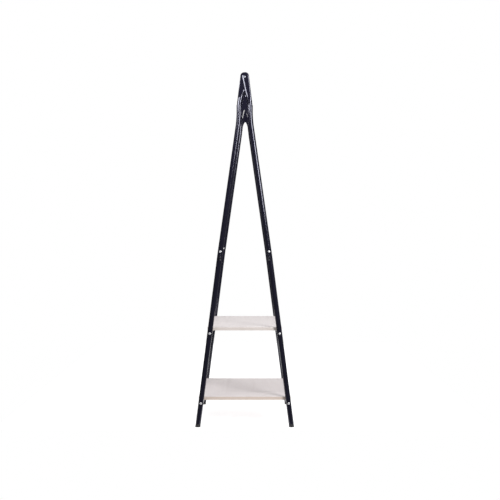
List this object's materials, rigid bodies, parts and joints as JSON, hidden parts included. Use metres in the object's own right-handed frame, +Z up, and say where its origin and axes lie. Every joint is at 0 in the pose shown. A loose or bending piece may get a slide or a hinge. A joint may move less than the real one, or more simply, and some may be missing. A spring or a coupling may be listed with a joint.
{
  "type": "hall tree",
  "caption": "Free-standing hall tree with A-shaped tube end frames, a hanging rail, side hooks and stacked shelves on rails.",
  "frame": {"origin": "centre of the rack's footprint, on the floor", "axes": "+Z up, X along the hanging rail from one end frame to the other, Y across the shelves from front to rear"},
  "size_m": [0.6996, 0.478, 1.705],
  "materials": {
    "frame_paint": "satin near-black powder coat",
    "shelf_wood": "semi-gloss bleached wood laminate",
    "fastener_steel": "zinc-plated steel",
    "foot_plastic": "matt black moulded plastic"
  },
  "bodies": {
    "root": {"apex_bolt_left": "fastener_steel", "apex_bolt_right": "fastener_steel", "foot_cap_left_front": "foot_plastic", "foot_cap_left_rear": "foot_plastic", "foot_cap_right_front": "foot_plastic", "foot_cap_right_rear": "foot_plastic", "joint_bolt_left_front": "fastener_steel", "joint_bolt_left_rear": "fastener_steel", "joint_bolt_right_front": "fastener_steel", "joint_bolt_right_rear": "fastener_steel", "joint_nut_left_front": "fastener_steel", "joint_nut_left_rear": "fastener_steel", "joint_nut_right_front": "fastener_steel", "joint_nut_right_rear": "fastener_steel", "joint_sleeve_left_front": "fastener_steel", "joint_sleeve_left_rear": "fastener_steel", "joint_sleeve_right_front": "fastener_steel", "joint_sleeve_right_rear": "fastener_steel", "lower_leg_left_front": "frame_paint", "lower_leg_left_rear": "frame_paint", "lower_leg_right_front": "frame_paint", "lower_leg_right_rear": "frame_paint", "saddle_brace_left": "frame_paint", "saddle_brace_right": "frame_paint", "shelf_board_lower": "shelf_wood", "shelf_board_upper": "shelf_wood", "shelf_bolt_lower_left_front": "fastener_steel", "shelf_bolt_lower_left_rear": "fastener_steel", "shelf_bolt_lower_right_front": "fastener_steel", "shelf_bolt_lower_right_rear": "fastener_steel", "shelf_bolt_upper_left_front": "fastener_steel", "shelf_bolt_upper_left_rear": "fastener_steel", "shelf_bolt_upper_right_front": "fastener_steel", "shelf_bolt_upper_right_rear": "fastener_steel", "shelf_rail_lower_front": "frame_paint", "shelf_rail_lower_rear": "frame_paint", "shelf_rail_upper_front": "frame_paint", "shelf_rail_upper_rear": "frame_paint", "shelf_screw_lower_left_front": "fastener_steel", "shelf_screw_lower_left_rear": "fastener_steel", "shelf_screw_lower_right_front": "fastener_steel", "shelf_screw_lower_right_rear": "fastener_steel", "shelf_screw_upper_left_front": "fastener_steel", "shelf_screw_upper_left_rear": "fastener_steel", "shelf_screw_upper_right_front": "fastener_steel", "shelf_screw_upper_right_rear": "fastener_steel", "side_hook_left_front": "frame_paint", "side_hook_left_rear": "frame_paint", "side_hook_right_front": "frame_paint", "side_hook_right_rear": "frame_paint", "strut_left_front": "frame_paint", "strut_left_rear": "frame_paint", "strut_right_front": "frame_paint", "strut_right_rear": "frame_paint", "top_rail": "frame_paint", "upper_leg_left_front": "frame_paint", "upper_leg_left_rear": "frame_paint", "upper_leg_right_front": "frame_paint", "upper_leg_right_rear": "frame_paint"}
  },
  "joints": []
}
